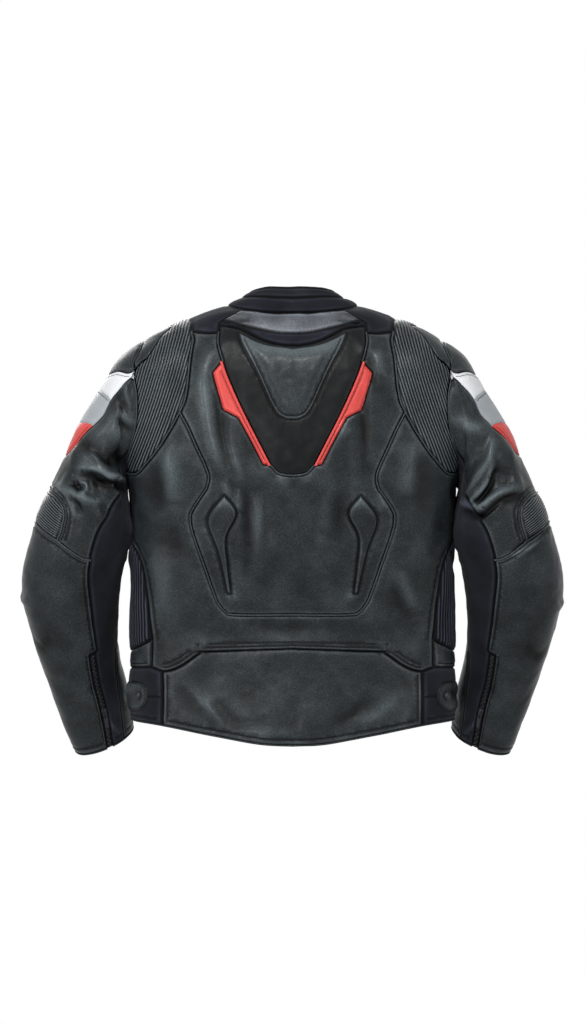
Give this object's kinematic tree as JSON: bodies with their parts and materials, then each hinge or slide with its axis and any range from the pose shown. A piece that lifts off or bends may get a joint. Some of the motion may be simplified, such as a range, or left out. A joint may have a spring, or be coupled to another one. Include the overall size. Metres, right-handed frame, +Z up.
{
  "type": "leather motorcycle jacket",
  "caption": "Black leather motorcycle jacket with back hump, ribbed shoulder and elbow panels, stretch inserts, red, white and grey blocks, and zips with hinged pulls.",
  "frame": {"origin": "between the shoulders at the base of the neck, level with the shoulder line, where the wearer's neck and shoulders hold the jacket", "axes": "+Z up, +Y out of the back, -Y out of the front, +X towards the wearer's left sleeve"},
  "size_m": [0.7662, 0.2579, 0.6653],
  "materials": {
    "leather": "black full-grain leather, fine grain, satin, creased",
    "hump_leather": "deep black smooth leather, satin",
    "stretch": "matte navy-black stretch textile",
    "soft_band": "soft matte black binding fabric",
    "neck_grey": "dark grey leather, fine grain, matte",
    "grey_leather": "light grey leather, satin",
    "white_leather": "white leather, satin",
    "red_leather": "bright red leather, satin",
    "zip_tape": "black woven zip tape with black moulded teeth",
    "zip_metal": "black lacquered metal, semi-gloss"
  },
  "bodies": {
    "jacket": {"back_center": "leather", "back_outer": "leather", "blade_left": "leather", "blade_right": "leather", "collar": "stretch", "collar_band": "soft_band", "cuff_slider_left": "zip_metal", "cuff_slider_right": "zip_metal", "cuff_zip_left": "zip_tape", "cuff_zip_right": "zip_tape", "flash_left": "red_leather", "flash_right": "red_leather", "front_left": "leather", "front_right": "leather", "front_slider": "zip_metal", "front_zip": "zip_tape", "hump_base": "hump_leather", "hump_pad": "leather", "lower_back": "leather", "neck_insert": "stretch", "neck_panel": "neck_grey", "shoulder_rib_left": "leather", "shoulder_rib_right": "leather", "side_panel_left": "leather", "side_panel_right": "leather", "side_rib_left": "stretch", "side_rib_right": "stretch", "sleeve_cup_inner_left": "leather", "sleeve_cup_inner_right": "leather", "sleeve_cup_outer_left": "leather", "sleeve_cup_outer_right": "leather", "sleeve_elbow_rib_left": "leather", "sleeve_elbow_rib_right": "leather", "sleeve_forearm_left": "leather", "sleeve_forearm_right": "leather", "sleeve_front_left": "leather", "sleeve_front_right": "leather", "sleeve_grey_left": "grey_leather", "sleeve_grey_right": "grey_leather", "sleeve_red_left": "red_leather", "sleeve_red_right": "red_leather", "sleeve_stretch_left": "stretch", "sleeve_stretch_right": "stretch", "sleeve_upper_left": "leather", "sleeve_upper_right": "leather", "sleeve_white_left": "white_leather", "sleeve_white_right": "white_leather", "waist_snap_left": "zip_metal", "waist_snap_right": "zip_metal", "waist_stretch_left": "stretch", "waist_stretch_right": "stretch", "waist_tab_left": "leather", "waist_tab_right": "leather", "yoke_left": "stretch", "yoke_right": "stretch"},
    "front_zip_pull": {"front_pull": "zip_metal"},
    "cuff_zip_pull_left": {"cuff_pull_left": "zip_metal"},
    "cuff_zip_pull_right": {"cuff_pull_right": "zip_metal"}
  },
  "joints": [
    {"name": "front_pull_hinge", "type": "hinge", "parent": "jacket", "child": "front_zip_pull", "pos_m": [0, -0.08116, -0.01961], "axis": [-1, 0, 0], "range_deg": [0, 165]},
    {"name": "cuff_pull_left_hinge", "type": "hinge", "parent": "jacket", "child": "cuff_zip_pull_left", "pos_m": [0.26709, -0.03102, -0.57437], "axis": [0.8956, 0.3002, -0.3283], "range_deg": [0, 165]},
    {"name": "cuff_pull_right_hinge", "type": "hinge", "parent": "jacket", "child": "cuff_zip_pull_right", "pos_m": [-0.26709, -0.03102, -0.57437], "axis": [0.8956, -0.3002, 0.3283], "range_deg": [0, 165]}
  ]
}
